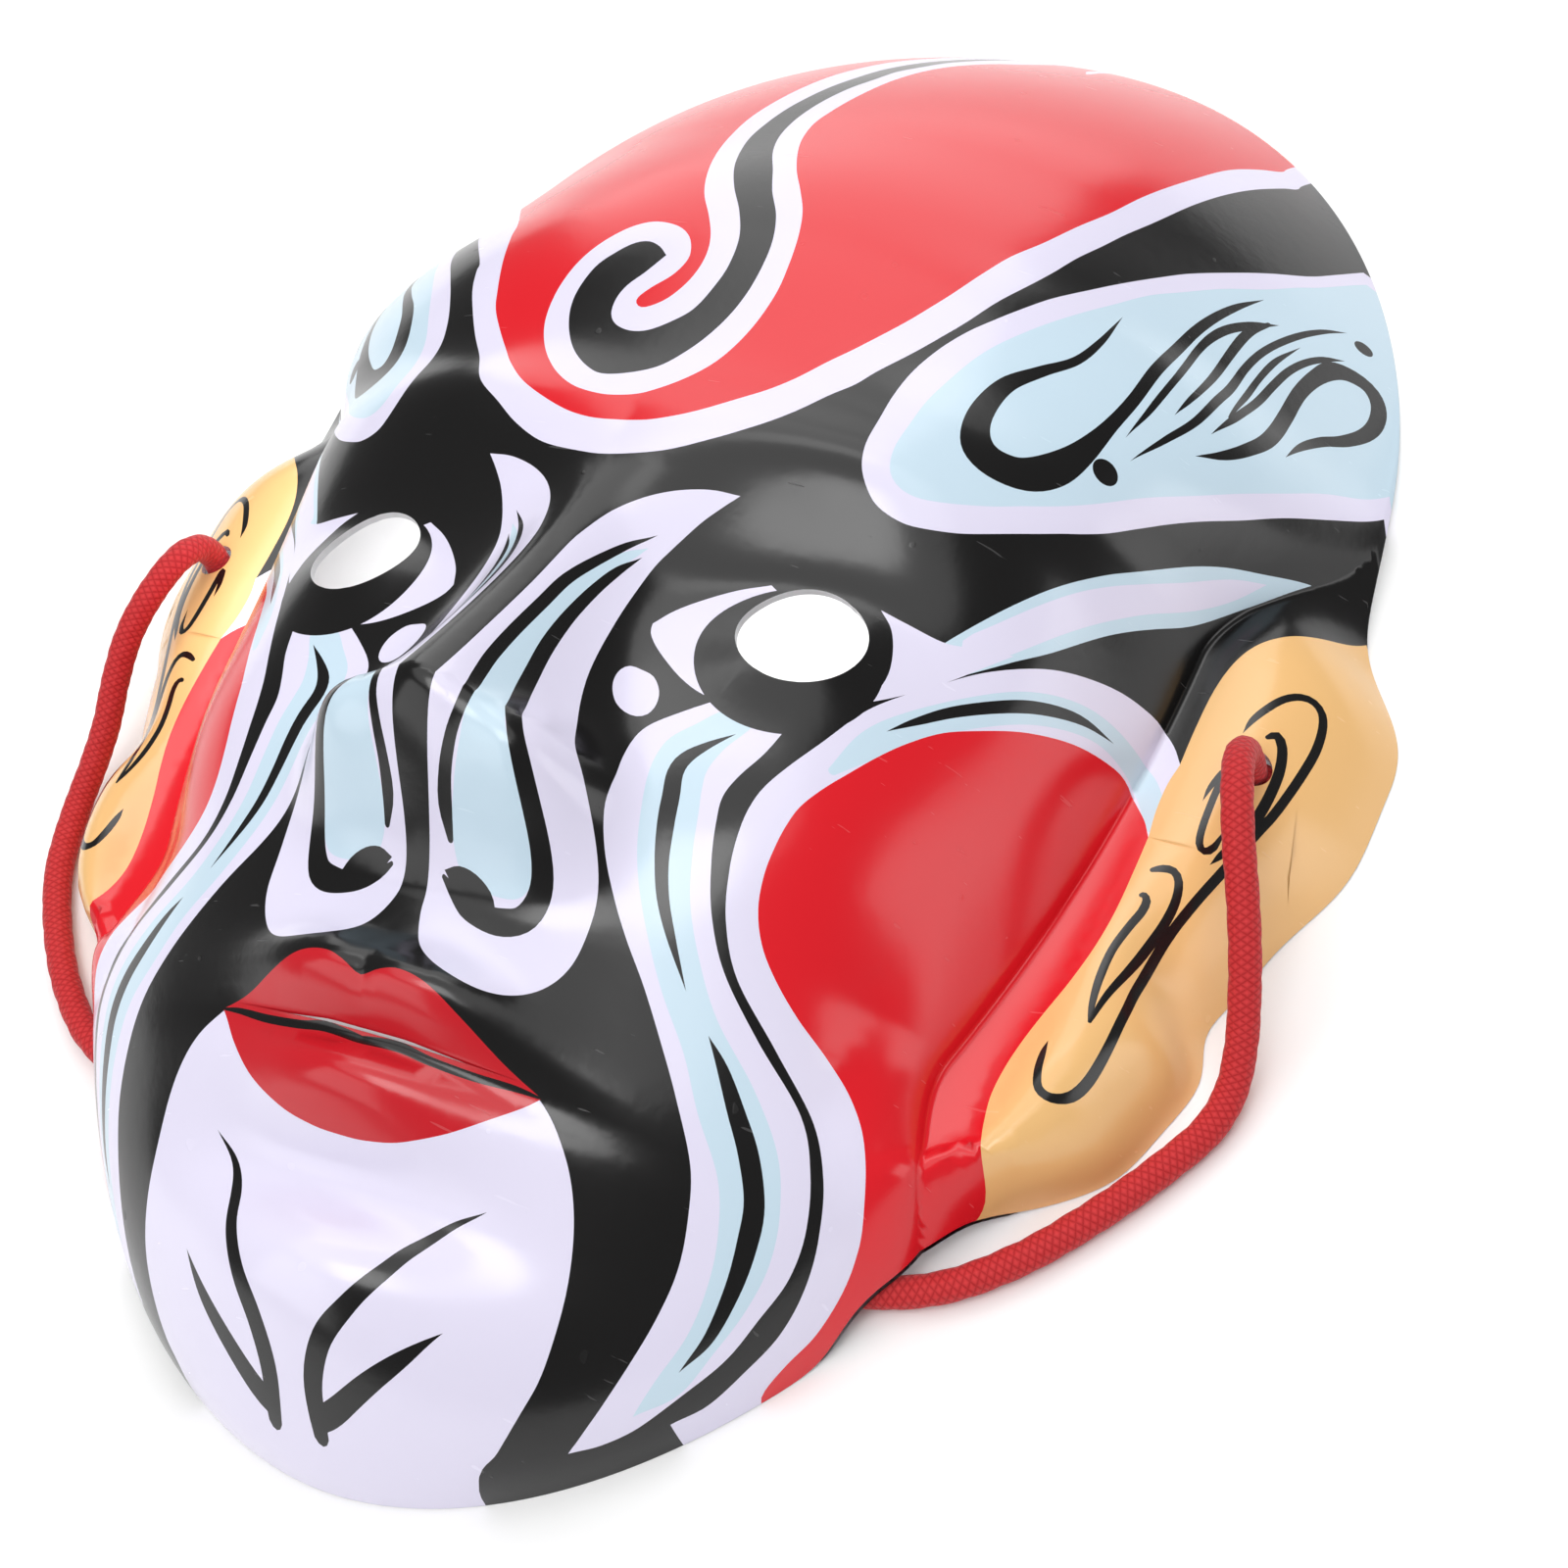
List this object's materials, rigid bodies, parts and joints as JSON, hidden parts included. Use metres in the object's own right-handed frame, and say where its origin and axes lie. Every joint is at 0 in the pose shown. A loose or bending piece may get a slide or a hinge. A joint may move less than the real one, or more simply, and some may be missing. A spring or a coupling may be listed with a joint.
{
  "type": "chinese opera mask",
  "caption": "Thin pressed plastic opera face mask with moulded ears, open eyes and a round elastic cord, lying face up on its rim.",
  "frame": {"origin": "centre of the bottom of the mask's box, on the plane of the rim that it lies on", "axes": "+Y along the face towards the crown, +X towards the mask's own left ear, +Z out of the face"},
  "size_m": [0.1834, 0.2437, 0.0629],
  "materials": {
    "printed_plastic": "vacuum pressed plastic sheet, printed in black, red, lavender white and pale blue on the front, bare white behind, glossy",
    "elastic": "braided round elastic, dyed red"
  },
  "bodies": {
    "root": {"mask_shell": "printed_plastic", "elastic_cord": "elastic", "knot_left": "elastic", "knot_right": "elastic"}
  },
  "joints": []
}
